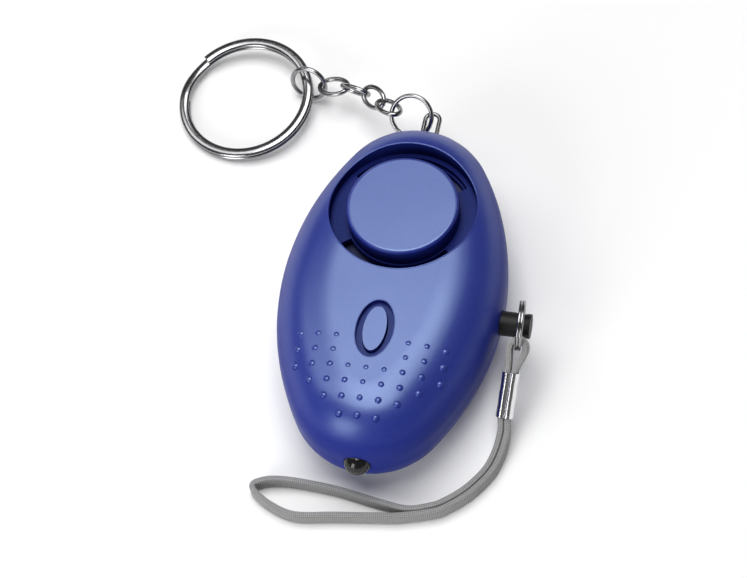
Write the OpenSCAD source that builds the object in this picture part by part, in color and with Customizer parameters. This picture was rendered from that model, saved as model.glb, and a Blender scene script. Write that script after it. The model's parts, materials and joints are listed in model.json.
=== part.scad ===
// Personal safety alarm: an oval two-shell case with a round sounder, a lamp button,
// a pull pin on a wrist strap and a chain with a split key ring.
// The case lies on its back: +Z out of the front, +Y towards the key ring, +X towards the pull pin.
// The origin is the centre of the flat rear face. All sizes are in millimetres.

/* [Case] */
// Overall width of the case
case_w = 42; // [40:0.5:46]
// Overall thickness of the case
case_t = 22; // [21:0.5:26]
// Distance between the centres of a side arc and an end arc: more makes the case longer
arc_gap = 36.75; // [35:0.25:38.5]
// Radius of the rounded case edge
edge_r = 9.5; // [8.5:0.25:10]
// Radius that eases the edge into the flat faces
ease_r = 17; // [12:0.5:20]
// Angle the edge radius turns through before it eases off
edge_turn = 74; // [70:1:80]
// Wall thickness of the shells
wall = 1.8; // [1.4:0.1:2.2]

/* [Sounder] */
// Distance of the sounder from the middle of the case
sounder_y = 14; // [13:0.25:15]
// Radius of the round opening in the front
rim_r = 14; // [13.5:0.25:14.5]
// Radius of the round cap in the opening
cap_r = 10.55; // [9.5:0.05:11]
// Wall thickness of the collar behind the opening
collar_wall = 1.4; // [1:0.1:1.8]
// Clearance between the cells and the ceramic disc over them
cell_gap = 1.15; // [0.9:0.05:1.4]
// Radius of the brass sounder plate
plate_r = 13.5; // [13:0.25:13.5]
// Radius of the ceramic disc on the plate
ceramic_r = 9.5; // [8:0.25:11]

/* [Lamp button] */
// Distance of the button from the middle of the case, towards the lamp
button_y = 12.7; // [12:0.1:14]
// Width of the oval key
key_w = 4.2; // [3.6:0.1:5]
// Length of the oval key
key_l = 9.2; // [8:0.1:10]
// Width of the dark groove round the key
groove_w = 1.4; // [1:0.1:1.8]
// Depth of the groove round the key
groove_depth = 0.9; // [0.6:0.1:1.1]
// Travel of the key
press_travel = 0.4; // [0.2:0.05:0.5]

/* [Grip bumps] */
// Spacing of the bumps across the case
bump_pitch_x = 3.31; // [3:0.01:3.4]
// Spacing of the bumps along the case
bump_pitch_y = 2.95; // [2.8:0.05:3.1]
// Distance of the widest row from the middle of the case
bump_row_y = 20.8; // [20:0.1:21.5]
// Radius of the ball that makes each bump
bump_r = 0.85; // [0.7:0.05:1]
// Height of the smallest bump
bump_h = 0.15; // [0.1:0.05:0.3]

/* [Pull pin] */
// Place of the pin along the case, measured from its middle towards the lamp
pin_y = 2.5; // [1.5:0.1:3]
// Radius of the black head
head_r = 2.3; // [2:0.05:2.4]
// Length of the head outside the case
head_l = 5.4; // [5:0.1:6]
// Radius of the guided shank
shank_r = 1.5; // [1.2:0.05:1.6]
// Radius of the tip that holds the switch open
tip_r = 0.7; // [0.6:0.05:0.8]
// Distance of the tip's point from the side of the case
tip_reach = 11; // [10:0.25:12]
// Mean radius of the small split ring
pin_ring_r = 4.4; // [4.2:0.1:4.8]
// Wire radius of the small split ring
pin_ring_wire = 0.3; // [0.25:0.01:0.32]

/* [Strap] */
// Width of the woven tape
tape_w = 3; // [2.4:0.1:3]
// Thickness of the woven tape
tape_t = 1.1; // [0.8:0.05:1.1]
// Wall thickness of the crimped ferrule
ferrule_wall = 0.35; // [0.25:0.05:0.5]

/* [Key chain] */
// Wire diameter of the staple
staple_wire = 0.9; // [0.7:0.05:1]
// Spacing of the staple's two legs
staple_gap = 2.8; // [2.6:0.1:3.2]
// How far the staple stands out of the case
staple_out = 7.1; // [6.5:0.1:8]
// Wire diameter of the chain's links and rings
chain_wire = 0.95; // [0.8:0.05:1]
// Inner diameter of the ring in the staple
staple_ring_d = 7.15; // [6.8:0.05:7.5]
// Inner length of a chain link
link_l = 5.35; // [5:0.05:5.6]
// Inner width of a chain link
link_w = 2.7; // [2.5:0.05:3]
// Inner diameter of the ring at the end of the chain
end_ring_d = 6.05; // [5.8:0.05:6.5]
// Outer radius of the split key ring
key_ring_r = 13.75; // [13.5:0.05:14]
// Radial width of the key ring's flat wire
key_wire_w = 2; // [1.6:0.1:2.2]
// Thickness of the key ring's two coils together
key_wire_t = 2; // [1.6:0.1:2.2]

/* [Inside] */
// Diameter of a button cell
cell_d = 11.6; // [11.4:0.1:11.6]
// Height of a button cell
cell_h = 5.4; // [5:0.1:5.4]
// Number of button cells
cell_count = 3; // [3:1:3]
// Thickness of the circuit board
board_t = 1.2; // [0.8:0.1:1.6]
// Height of the pull pin's middle over the circuit board
board_drop = 3; // [2.8:0.1:3.4]
// Diameter of the lamp
lamp_d = 5; // [4.8:0.1:5]
// Radius of a screw's shank
screw_r = 0.95; // [0.8:0.05:1]
// Radius of a screw's head
screw_head_r = 1.8; // [1.6:0.05:1.9]
// Clearance between parts that slide
slide_gap = 0.07; // [0.03:0.01:0.1]
// Clearance between parts that only sit together
seat_gap = 0.15; // [0.05:0.05:0.2]

/* [Hidden] */
$fn = 64;

// Finishes
case_blue = "royalblue";
key_blue = "cornflowerblue";
chrome = "silver";
black = "#202022";
tape_grey = "#8c8c8c";
brass = "#c9a64a";
board_green = "#1f6b3a";

// Outline of the case: two end arcs and two long side arcs that meet without a corner, in this direction
join_x = 0.8432;
join_y = 0.5376;
join_a = atan2(join_y, join_x);
side_c = join_x * arc_gap;
end_c = join_y * arc_gap;
side_r = case_w / 2 + side_c;
end_r = side_r - arc_gap;
case_l = 2 * (end_c + end_r);
part_z = case_t / 2;
edge_h = edge_r * sin(edge_turn) + ease_r * (1 - sin(edge_turn));
flat_d = snap(edge_r * (1 - cos(edge_turn)) + ease_r * cos(edge_turn));

arc_steps = 10;
ease_steps = 3;
core_lap = 1;
far = 200;

function snap(v) = round(v * 1000) / 1000;
// Front-edge points as [distance inside the outline, height], for a skin set in by i
function edge_points(i) = concat(
    [for (k = [0:arc_steps]) let (a = edge_turn * k / arc_steps)
        [snap(edge_r - (edge_r - i) * cos(a)), snap(case_t - edge_h + (edge_r - i) * sin(a))]],
    [for (k = [1:ease_steps]) let (a = edge_turn + (90 - edge_turn) * k / ease_steps)
        [snap(flat_d - (ease_r - i) * cos(a)), snap(case_t - ease_r + (ease_r - i) * sin(a))]]);
function reversed(list) = [for (k = [len(list) - 1:-1:0]) list[k]];
// Section of the case as [radius, height], out to radius r and in to radius r_in
function section_points(i, r, r_in) = let (edge = edge_points(i)) concat(
    [[r_in, i]],
    [for (p = reversed(edge)) [r - p[0], case_t - p[1]]],
    [for (p = edge) [r - p[0], p[1]]],
    [[r_in, case_t - i]]);
function oval_points(w, l, steps = 48) = [for (k = [0:steps - 1]) let (a = 360 * k / steps)
    [w / 2 * cos(a), l / 2 * sin(a)]];
function unit(v) = v / norm(v);

// Lamp
lamp_tip = 1.9;
lamp_l = 8.6;
lamp_rim = 0.4;
lamp_rim_t = 0.9;
lamp_y = -case_l / 2 - lamp_tip;
lead_r = 0.25;
lead_x = 1.27;
lead_end_y = lamp_y + lamp_l + 2.8;

// Board, cells and screws
board_y = 3.2;
board_inset = wall + 0.9;
board_top = part_z - board_drop;
board_bottom = board_top - board_t;
cell_z = wall + 0.3 + cell_d / 2;
cell_step = cell_h + 0.05;
cell_y = 15.5;
stack_l = cell_count * cell_step;
end_wall = 1.2;
contact_t = 0.3;
spring_l = 2.4;
screw_seat_z = 6;
screw_head_h = 1.6;
screw_top = 13.9;
boss_r = screw_head_r + 0.8;
screw_low_y = snap(lead_end_y + lead_r + seat_gap + boss_r);
screw_places = [[0, screw_low_y], [11.8, 23], [-11.8, 23]];
board_end = snap(boss_r + 1.5 - screw_low_y);
front_boss_r = screw_r + 1.5;
post_x = 9.5;
post_y = -2;

// Sounder heights: the ceramic disc clears the cells, and the ledge lies on the plate
ledge_t = 1.2;
ledge_in = rim_r - 1.4;
plate_t = 0.3;
ceramic_t = 0.25;
plate_z = snap(cell_z + cell_d / 2 + cell_gap + ceramic_t);
ledge_z = plate_z + plate_t + ledge_t;
collar_z = plate_z - 0.7;
brim_t = 1.2;
cap_t = 1.6;
cap_drop = 0.2;
cap_edge = 0.7;
slot_turn = 110;

// Switch under the button
switch_w = 6;
switch_h = 3.5;
plunger_r = 1.65;
plunger_out = 1.2;
plunger_in = 1.3;
plunger_top = board_top + switch_h + plunger_out;
touch_gap = 0.05;
flange_extra = 0.8;
flange_t = 0.9;
flange_top = case_t - wall - 0.3;
stem_r = 1.3;

// Pull pin and its switch
pin_at = [case_w / 2, -pin_y, part_z];
head_seat = 0.4;
guide_in = 4.6;
guide_r = 2.8;
taper_l = 5;
point_r = 0.05;
contact_x = case_w / 2 - tip_reach + taper_l;
leaf_t = 0.25;
leaf_gap = 0.15;
leaf_root_x = 3.5;
leaf_root_r = 0.8;
leaf_low = board_top + touch_gap;
leaf_high = part_z + 1.2;
fixed_gap = tip_r + 0.3;

// Small ring in the pin's head: turned over towards the strap and leaning out a little
ring_hole_r = 1.1;
ring_hole_x = case_w / 2 + 3.5;
pin_turn = 29.2;
ring_lean = 6;
ring_shift = 0.33;

// Staple
staple_r = staple_wire / 2;
staple_foot_y = case_l / 2 - 3.4;
staple_foot_l = 2.2;
bend_y = case_l / 2 + staple_out - staple_gap / 2 - staple_r;

// Key chain: each piece is laid along [heading, rise, roll] and hooked in the one before it
chain_r = chain_wire / 2;
chain_gaps = [0, 0.32, 0.12, 0.12, 0.12, 0.12];
chain_dirs = [[173, 0, -45], [136, -20, 20], [145, -19, -45], [158, -18, 70], [172, -16, 0],
    [172, -4, -72]];
staple_ring_l = staple_ring_d + chain_wire;
link_mean_l = link_l + chain_wire;
end_ring_l = end_ring_d + chain_wire;
chain_lens = [staple_ring_l, link_mean_l, link_mean_l, link_mean_l, link_mean_l, end_ring_l];
function heading(d) = [cos(d[1]) * cos(d[0]), cos(d[1]) * sin(d[0]), sin(d[1])];
chain_start = [-0.2, bend_y - 0.1, part_z];
function hook_step(k) = (chain_wire + chain_gaps[k])
    * unit(heading(chain_dirs[k - 1]) + heading(chain_dirs[k]));
function chain_near(k) = k == 0 ? chain_start
    : chain_near(k - 1) + chain_lens[k - 1] * heading(chain_dirs[k - 1]) - hook_step(k);
function chain_middle(k) = chain_near(k) + chain_lens[k] / 2 * heading(chain_dirs[k]);
key_dir = [199, -6.6, -3];
key_near = chain_middle(5) + 0.3 * heading(chain_dirs[5]) - [0, 0, 0.15];
key_at = key_near + (key_ring_r - key_wire_w / 2) * heading(key_dir);
key_groove = 0.25;
key_chamfer = 0.3;

// Woven strap: the middle of the tape, from the ferrule round the loop and back
tape_edge = 0.25;
strand_gap = 1.24;
joined_route = [[24.1, -15.4, 7.35], [23.9, -18.6, 5], [24.1, -21.2, 3.3], [23.7, -24.4, 2],
    [22.7, -28, 1.6], [21, -31, 1.55], [18.8, -33.8, 1.55], [16.2, -36.1, 1.55], [13.8, -37.6, 1.55]];
loop_route = [[8, -39.95, 1.55], [3.3, -40.65, 1.55], [-4, -41.6, 1.55], [-11, -42.55, 1.55],
    [-15.7, -41.3, 1.55], [-19, -39.3, 1.55], [-20, -37.9, 1.55], [-19, -36.9, 1.55], [-16.4, -36.05, 1.55],
    [-12, -35.85, 1.55], [-4.7, -36.35, 1.55], [0.5, -37.2, 1.55], [4.6, -37.9, 1.55], [9.2, -38.35, 1.55]];
function beside(p, k, d) = let (t = tangent(p, k)) p[k] + d * unit([-t[1], t[0], 0]);
last_joined = len(joined_route) - 1;
strap_route = concat(
    [for (k = [0:last_joined]) beside(joined_route, k, strand_gap / 2)],
    loop_route,
    [for (k = [last_joined:-1:0]) beside(joined_route, k, -strand_gap / 2)]);
eye_route = [[24.7, -15.1, 7.57], [24.9, -11.8, 10], [26, -9.6, 11.6], [26.45, -8.4, 12.45],
    [26.2, -7.4, 13.2], [25, -6.8, 13.6], [23.8, -7.4, 13.2], [23.5, -8.4, 12.45], [23.6, -9.6, 11.6],
    [23.66, -11.8, 10], [23.46, -15.1, 7.57]];
eye_up = unit([0, -2.5, 3.4]);
ferrule_from = [24.28, -11.8, 10];
ferrule_to = [23.88, -18.6, 5];
route_steps = 2;
strap_gap = 0.12;

// Smooth curve through the points of a route
function route_point(p, k, t) =
    let (a = p[max(k - 1, 0)], b = p[k], c = p[k + 1], d = p[min(k + 2, len(p) - 1)])
    0.5 * (2 * b + (c - a) * t + (2 * a - 5 * b + 4 * c - d) * t * t + (3 * b - a - 3 * c + d) * t * t * t);
function smooth_route(p, steps) = concat(
    [for (k = [0:len(p) - 2], s = [0:steps - 1]) route_point(p, k, s / steps)], [p[len(p) - 1]]);
function tangent(p, k) = unit(p[min(k + 1, len(p) - 1)] - p[max(k - 1, 0)]);
// Tape section with its long edges eased, as [across, up] pairs
function tape_section() = let (a = tape_t / 2, b = tape_w / 2, e = tape_edge)
    [[a, e - b], [a, b - e], [a - e, b], [e - a, b], [-a, b - e], [-a, e - b], [e - a, -b], [a - e, -b]];

module tape(route, steps, flat_up = undef) {
    p = smooth_route(route, steps);
    section = tape_section();
    n = len(p);
    m = len(section);
    rings = [for (k = [0:n - 1])
        let (t = tangent(p, k))
        let (side = unit(flat_up == undef ? [t[1], -t[0], 0] : cross(t, flat_up)), up = cross(side, t))
        for (s = section) p[k] + s[0] * side + s[1] * up];
    faces = concat(
        [[for (j = [0:m - 1]) j]],
        [[for (j = [m - 1:-1:0]) (n - 1) * m + j]],
        [for (k = [0:n - 2], j = [0:m - 1]) [k * m + j, (k + 1) * m + j, (k + 1) * m + (j + 1) % m]],
        [for (k = [0:n - 2], j = [0:m - 1]) [k * m + j, (k + 1) * m + (j + 1) % m, k * m + (j + 1) % m]]);
    polyhedron(rings, faces, convexity = 8);
}

// Solid of the whole case with its skin set in by i
module case_blank(i) {
    for (s = [0, 180]) rotate([0, 0, s]) {
        intersection() {
            translate([0, end_c, 0]) rotate_extrude(angle = 180) polygon(section_points(i, end_r, 0));
            translate([0, end_c, -1]) linear_extrude(case_t + 2)
                polygon([[0, 0], [far * join_x, far * join_y], [0, far], [-far * join_x, far * join_y]]);
        }
        intersection() {
            translate([-side_c, 0, 0]) rotate([0, 0, -90]) rotate_extrude(angle = 180)
                polygon(section_points(i, side_r, side_r - end_r + core_lap));
            translate([-side_c, 0, -1]) linear_extrude(case_t + 2)
                polygon([[0, 0], [far * join_x, -far * join_y], [far * join_x, far * join_y]]);
        }
    }
    core_r = snap(side_r - (flat_d + end_r - core_lap) / 2);
    translate([0, 0, i]) linear_extrude(case_t - 2 * i) intersection() {
        translate([-side_c, 0]) circle(core_r);
        translate([side_c, 0]) circle(core_r);
        square([case_w, 2 * end_c + 3 * core_lap], center = true);
    }
}

// Flat outline of the case set in by i, as points
function arc_points(c, r, a0, a1, steps) = [for (k = [0:steps - 1]) let (a = a0 + (a1 - a0) * k / steps)
    c + r * [cos(a), sin(a)]];
function outline_points(i) = concat(
    arc_points([-side_c, 0], side_r - i, -join_a, join_a, 20),
    arc_points([0, end_c], end_r - i, join_a, 180 - join_a, 20),
    arc_points([side_c, 0], side_r - i, 180 - join_a, 180 + join_a, 20),
    arc_points([0, -end_c], end_r - i, 180 + join_a, 360 - join_a, 20));

// Everything above (front) or below (rear) the parting plane
module half_space(front) {
    translate([-far / 2, -far / 2, front ? part_z : part_z - far]) cube(far);
}

module at_y(y0, y1, r) {
    translate([0, y0, 0]) rotate([-90, 0, 0]) cylinder(r = r, h = y1 - y0);
}

// Cuts that both shells share at the parting plane
module parting_cuts() {
    translate([0, 0, part_z]) {
        at_y(-case_l / 2 - 1, -case_l / 2 + lamp_l, lamp_d / 2 + slide_gap);
        lamp_end = lamp_y + lamp_l;
        at_y(lamp_end - lamp_rim_t - seat_gap, lamp_end + 1, lamp_d / 2 + lamp_rim + seat_gap);
        for (s = [-1, 1]) translate([s * staple_gap / 2, 0, 0])
            at_y(staple_foot_y, case_l / 2 + 1, staple_r + slide_gap);
        translate([-staple_gap / 2 - staple_foot_l - seat_gap, staple_foot_y, 0]) rotate([0, 90, 0])
            cylinder(r = staple_r + slide_gap, h = staple_gap + 2 * staple_foot_l + 2 * seat_gap);
    }
    translate(pin_at) rotate([0, 90, 0]) {
        translate([0, 0, -2 * guide_in]) cylinder(r = shank_r + slide_gap, h = far / 4);
        translate([0, 0, -head_seat]) cylinder(r = head_r + seat_gap, h = far / 4);
    }
}

// Blocks that hold the lamp, the staple and the pin between the shells
module parting_blocks() {
    hold = 3.8;
    translate([-hold, lamp_y + 3.4, part_z - hold]) cube([2 * hold, lamp_l - 3.4, 2 * hold]);
    foot_w = staple_gap + 2 * staple_foot_l + 2.4;
    translate([-foot_w / 2, staple_foot_y - 1.2, part_z - hold]) cube([foot_w, 3.6, 2 * hold]);
    translate(pin_at) rotate([0, 90, 0]) translate([0, 0, -guide_in]) cylinder(r = guide_r, h = guide_in);
}

module bumps() {
    rows = [[2, 4], [2, 4], [0, 4], [0, 3], [0, 2], [0, 1]];
    for (row = [0:len(rows) - 1], col = [-rows[row][1]:rows[row][1]]) if (abs(col) >= rows[row][0]) {
        x = col * bump_pitch_x;
        y = -bump_row_y - (row - 2) * bump_pitch_y;
        d = skin_depth(x, y);
        border = max(0, abs(col) + row - 3);
        translate([x, y, skin_height(d) - bump_r + bump_h + 0.05 * border]) sphere(bump_r, $fn = 24);
    }
}
// How far a point lies inside the outline, and the height of the front skin there
function skin_depth(x, y) = atan2(abs(y), abs(x) + side_c) < join_a
    ? side_r - norm([abs(x) + side_c, y]) : end_r - norm([x, abs(y) - end_c]);
function skin_height(d) = d > flat_d ? case_t
    : d > edge_r * (1 - cos(edge_turn)) ? case_t - ease_r + sqrt(pow(ease_r, 2) - pow(flat_d - d, 2))
    : case_t - edge_h + sqrt(pow(edge_r, 2) - pow(edge_r - d, 2));

// Half of the case, hollow but for the features that stand in it
module shell_half(front) {
    difference() {
        intersection() {
            case_blank(0);
            half_space(front);
        }
        difference() {
            case_blank(wall);
            children();
        }
    }
}

module front_shell() color(case_blue) difference() {
    union() {
        shell_half(true) {
            parting_blocks();
            translate([0, sounder_y, collar_z]) cylinder(r = rim_r + collar_wall, h = case_t, $fn = 96);
            for (p = screw_places) translate([p[0], p[1], part_z - 1])
                cylinder(r = front_boss_r, h = p[1] < 0 ? case_t : plate_z - part_z + 1);
        }
        bumps();
    }
    translate([0, sounder_y, 0]) {
        translate([0, 0, ledge_z]) cylinder(r = rim_r, h = case_t, $fn = 96);
        translate([0, 0, part_z + 1]) cylinder(r = ledge_in, h = case_t, $fn = 96);
        translate([0, 0, part_z + 1])
            cylinder(r = plate_r + seat_gap, h = ledge_z - ledge_t - part_z - 1, $fn = 96);
    }
    translate([0, -button_y, 0]) {
        translate([0, 0, part_z]) linear_extrude(case_t)
            polygon(oval_points(key_w + 2 * seat_gap, key_l + 2 * seat_gap));
        translate([0, 0, case_t - groove_depth]) linear_extrude(case_t)
            polygon(oval_points(key_w + 2 * groove_w, key_l + 2 * groove_w));
    }
    for (p = screw_places) translate([p[0], p[1], part_z - 1])
        cylinder(r = screw_r + slide_gap, h = screw_top + 1.3 - part_z);
    parting_cuts();
}

module rear_shell() color(case_blue) difference() {
    shell_half(false) {
        parting_blocks();
        for (p = screw_places) translate([p[0], p[1], -1]) cylinder(r = boss_r, h = case_t);
        translate([0, screw_low_y, -1]) cylinder(r = boss_r + 1, h = board_bottom + 1);
        for (s = [-1, 1]) translate([s * post_x, post_y, -1]) cylinder(r = 1.6, h = board_bottom + 1);
        cell_cradle();
    }
    for (p = screw_places) translate([p[0], p[1], 0]) {
        translate([0, 0, -1]) cylinder(r = screw_head_r + seat_gap, h = screw_seat_z + 1);
        cylinder(r = screw_r + seat_gap, h = case_t);
    }
    parting_cuts();
}

// Walls in the rear shell that hold the row of cells and its two contacts
module cell_cradle() {
    w = cell_d + 1.6;
    low_y = cell_y - stack_l / 2 - spring_l - contact_t - end_wall;
    high_y = cell_y + stack_l / 2 + contact_t + touch_gap;
    for (y = [low_y, high_y]) translate([-w / 2, y, 0]) cube([w, end_wall, part_z - seat_gap]);
    for (s = [0, 1]) mirror([s, 0, 0]) translate([cell_d / 2 + 0.2, low_y, 0])
        cube([0.8, high_y - low_y, cell_z]);
}

module sounder_cap() color(case_blue) translate([0, sounder_y, 0]) difference() {
    top = case_t - cap_drop;
    union() {
        rotate_extrude($fn = 96) polygon(concat(
            [[0, top - cap_t], [0, top]],
            [for (k = [0:4]) let (a = 90 - 90 * k / 4)
                [cap_r - cap_edge + cap_edge * cos(a), top - cap_edge + cap_edge * sin(a)]],
            [[cap_r, top - cap_t]]));
        translate([0, 0, ledge_z]) cylinder(r = cap_r, h = top - cap_edge - ledge_z, $fn = 96);
        translate([0, 0, ledge_z]) cylinder(r = rim_r - seat_gap, h = brim_t, $fn = 96);
    }
    translate([0, 0, ledge_z - 1]) cylinder(r = cap_r - 1.3, h = top - cap_t - ledge_z + 1, $fn = 96);
    for (s = [0, 180]) rotate([0, 0, s + 90 - slot_turn / 2]) translate([0, 0, ledge_z - 1])
        rotate_extrude(angle = slot_turn) translate([cap_r + 0.3, 0])
            square([rim_r - 1 - cap_r - 0.3, brim_t + 2]);
}

module sounder_plate() color(brass) translate([0, sounder_y, plate_z])
    cylinder(r = plate_r, h = plate_t, $fn = 96);

module sounder_ceramic() color("ivory") translate([0, sounder_y, plate_z - ceramic_t])
    cylinder(r = ceramic_r, h = ceramic_t, $fn = 96);

module sounder_leads() color("firebrick") for (s = [-1, 1]) translate([s * 4, board_y - 1.2, board_top])
    cylinder(r = 0.3, h = plate_z - board_top, $fn = 16);

module circuit_board() color(board_green) translate([0, 0, board_bottom])
    linear_extrude(board_t) difference() {
    intersection() {
        polygon(outline_points(board_inset));
        translate([-case_w / 2, -board_end]) square([case_w, board_end + board_y]);
    }
    translate(screw_places[0]) circle(boss_r + 0.3);
}

module boost_coil() color("saddlebrown") translate([-9, -6, board_top]) {
    cylinder(r = 3.2, h = 6.6);
    for (z = [0, 5.8]) translate([0, 0, z]) cylinder(r = 3.9, h = 1);
}

module control_chip() color(black) translate([-8.5, -15.5, board_top]) {
    translate([-2.5, -2, 0.2]) cube([5, 4, 1.5]);
    for (s = [-1, 1], k = [0:3]) translate([-2 + k * 1.27 - 0.2, s * 2.4 - 0.5, 0]) cube([0.4, 1, 0.5]);
}

module driver_transistor() color(black) translate([8.5, -15.5, board_top]) {
    translate([0, 0, 1]) intersection() {
        cylinder(r = 2.4, h = 4.6);
        translate([-3, -1.4, 0]) cube([6, 6, 4.6]);
    }
    for (k = [-1, 0, 1]) translate([k * 1.27 - 0.2, -0.2, 0]) cube([0.4, 0.4, 1.4]);
}

module switch_body() color("dimgray") translate([0, -button_y, board_top]) difference() {
    translate([-switch_w / 2, -switch_w / 2, 0]) cube([switch_w, switch_w, switch_h]);
    translate([0, 0, switch_h - plunger_in - press_travel - seat_gap])
        cylinder(r = plunger_r + slide_gap, h = switch_h);
}

module switch_plunger() color(black) translate([0, -button_y, plunger_top - plunger_out - plunger_in])
    cylinder(r = plunger_r, h = plunger_out + plunger_in);

module light_button() color(key_blue) translate([0, -button_y, 0]) {
    translate([0, 0, flange_top - flange_t]) linear_extrude(flange_t)
        polygon(oval_points(key_w + 2 * flange_extra, key_l + 2 * flange_extra));
    translate([0, 0, flange_top - flange_t / 2]) linear_extrude(case_t - flange_top + flange_t / 2)
        polygon(oval_points(key_w, key_l));
    translate([0, 0, plunger_top + touch_gap])
        cylinder(r = stem_r, h = flange_top - flange_t / 2 - plunger_top - touch_gap);
}

module contact_fixed() color(brass)
translate([contact_x - 2.2, -pin_y - fixed_gap - contact_t, board_top]) {
    cube([2.6, contact_t, leaf_high - board_top]);
    translate([0, -1.2, 0]) cube([2.6, 1.2, contact_t]);
}

module switch_leaf() color(brass) translate([leaf_root_x, -pin_y + tip_r + leaf_gap, leaf_low]) {
    cube([contact_x + 0.5 - leaf_root_x, leaf_t, leaf_high - leaf_low]);
    translate([0, leaf_t / 2, 0]) cylinder(r = leaf_root_r, h = leaf_high - leaf_low, $fn = 32);
}

module button_cells() color("lightgray") for (k = [0:cell_count - 1])
    translate([0, cell_y - stack_l / 2 + k * cell_step + (cell_step - cell_h) / 2, cell_z]) {
        at_y(0, cell_h - 0.6, cell_d / 2);
        at_y(cell_h - 0.8, cell_h, cell_d / 2 - 0.9);
    }

module cell_contact() color(brass) translate([-4.5, cell_y + stack_l / 2, cell_z - 4.5])
    cube([9, contact_t, 9]);

module cell_spring() color(brass) {
    y = cell_y - stack_l / 2 - spring_l - contact_t;
    translate([-4.5, y, cell_z - 4.5]) cube([9, contact_t, 9]);
    bow_r = 3;
    translate([-2, y + spring_l + contact_t - bow_r - touch_gap, cell_z]) rotate([0, 90, 0]) difference() {
        cylinder(r = bow_r, h = 4);
        translate([0, 0, -1]) cylinder(r = bow_r - 0.3, h = 6);
        translate([-far / 2, -far + bow_r - spring_l, -far / 2]) cube(far);
    }
}

module lamp_lens() color("lightcyan", 0.6) translate([0, lamp_y, part_z]) {
    r = lamp_d / 2;
    translate([0, r, 0]) sphere(r);
    at_y(r, lamp_l, r);
    at_y(lamp_l - lamp_rim_t, lamp_l, r + lamp_rim);
}

module lamp_leads() color(chrome) for (s = [-1, 1]) translate([s * lead_x, 0, part_z]) {
    at_y(lamp_y + lamp_l, lead_end_y, lead_r);
    translate([0, lead_end_y, 0]) sphere(lead_r, $fn = 24);
    translate([0, lead_end_y, board_top - part_z]) cylinder(r = lead_r, h = part_z - board_top, $fn = 24);
}

module case_screws() color(chrome) for (p = screw_places)
translate([p[0], p[1], screw_seat_z - screw_head_h]) difference() {
    union() {
        cylinder(r = screw_head_r, h = screw_head_h);
        cylinder(r = screw_r, h = screw_top - screw_seat_z + screw_head_h);
    }
    for (a = [0, 90]) rotate([0, 0, a]) translate([-1.1, -0.2, -1]) cube([2.2, 0.4, 1.8]);
}

module keyring_staple() color(chrome) translate([0, 0, part_z]) {
    for (s = [-1, 1]) translate([s * staple_gap / 2, 0, 0]) {
        at_y(staple_foot_y, bend_y, staple_r);
        translate([0, staple_foot_y, 0]) sphere(staple_r);
        translate([0, staple_foot_y, 0]) rotate([0, s * 90, 0]) cylinder(r = staple_r, h = staple_foot_l);
    }
    translate([0, bend_y, 0]) rotate_extrude(angle = 180) translate([staple_gap / 2, 0]) circle(staple_r);
}

module pull_pin() color(black) difference() {
    translate(pin_at) rotate([0, 90, 0]) {
        translate([0, 0, -head_seat + touch_gap]) cylinder(r = head_r, h = head_l + head_seat - touch_gap);
        translate([0, 0, -guide_in]) cylinder(r = shank_r, h = guide_in);
        translate([0, 0, taper_l - tip_reach]) cylinder(r = tip_r, h = tip_reach - taper_l);
        translate([0, 0, -tip_reach]) cylinder(r1 = point_r, r2 = tip_r, h = taper_l);
    }
    translate([ring_hole_x, -pin_y, part_z]) rotate([pin_turn - 90, 0, 0])
        cylinder(r = ring_hole_r, h = 4 * head_r, center = true);
}

module pin_ring() color(chrome) translate([ring_hole_x, -pin_y, part_z]) rotate([pin_turn, 0, 0])
    rotate([0, ring_lean, 0]) translate([0, 0, pin_ring_r - ring_shift]) rotate([0, 90, 0])
        rotate_extrude($fn = 72) for (s = [-1, 1]) translate([pin_ring_r, s * pin_ring_wire * 0.9])
            circle(pin_ring_wire, $fn = 24);

module strap_eye() color(tape_grey) tape(eye_route, route_steps, eye_up);

module wrist_strap() color(tape_grey) tape(strap_route, route_steps);

module crimp_ferrule() color(chrome) {
    run = ferrule_to - ferrule_from;
    length = norm(run);
    inner = [2 * tape_t + 2 * strap_gap + 0.12, tape_w + 2 * strap_gap];
    translate(ferrule_from) rotate([0, 0, atan2(run[1], run[0])]) rotate([0, acos(run[2] / length), 0])
        linear_extrude(length) difference() {
            ferrule_section(inner[1] + 2 * ferrule_wall, inner[0] + 2 * ferrule_wall, 0.8);
            square([inner[1], inner[0]], center = true);
        }
}

// Rectangle with round corners
module ferrule_section(w, h, r) {
    square([w - 2 * r, h], center = true);
    square([w, h - 2 * r], center = true);
    for (x = [-1, 1], y = [-1, 1]) translate([x * (w / 2 - r), y * (h / 2 - r)]) circle(r, $fn = 32);
}

// Turn a piece of the chain so that its length follows a direction
module along(d) {
    rotate([0, 0, d[0]]) rotate([0, -d[1], 0]) rotate([d[2], 0, 0]) children();
}

// Round wire ring of the chain
module wire_ring(k) {
    translate(chain_middle(k)) along(chain_dirs[k])
        rotate_extrude($fn = 72) translate([chain_lens[k] / 2, 0]) circle(chain_r, $fn = 24);
}

// Long wire link of the chain
module wire_link(k) {
    straight = link_l - link_w;
    mean_r = link_w / 2 + chain_r;
    translate(chain_middle(k)) along(chain_dirs[k]) for (s = [0, 180]) rotate([0, 0, s]) {
        translate([straight / 2, 0, 0]) rotate([0, 0, -90]) rotate_extrude(angle = 180)
            translate([mean_r, 0]) circle(chain_r, $fn = 24);
        translate([-straight / 2, mean_r, 0]) rotate([0, 90, 0])
            cylinder(r = chain_r, h = straight, $fn = 24);
    }
}

module staple_ring() color(chrome) wire_ring(0);

module chain_link(k) color(chrome) wire_link(k);

module end_ring() color(chrome) wire_ring(5);

module key_ring() color(chrome) translate(key_at) along(key_dir)
    rotate_extrude($fn = 120) translate([key_ring_r - key_wire_w / 2, 0]) key_section();

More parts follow.
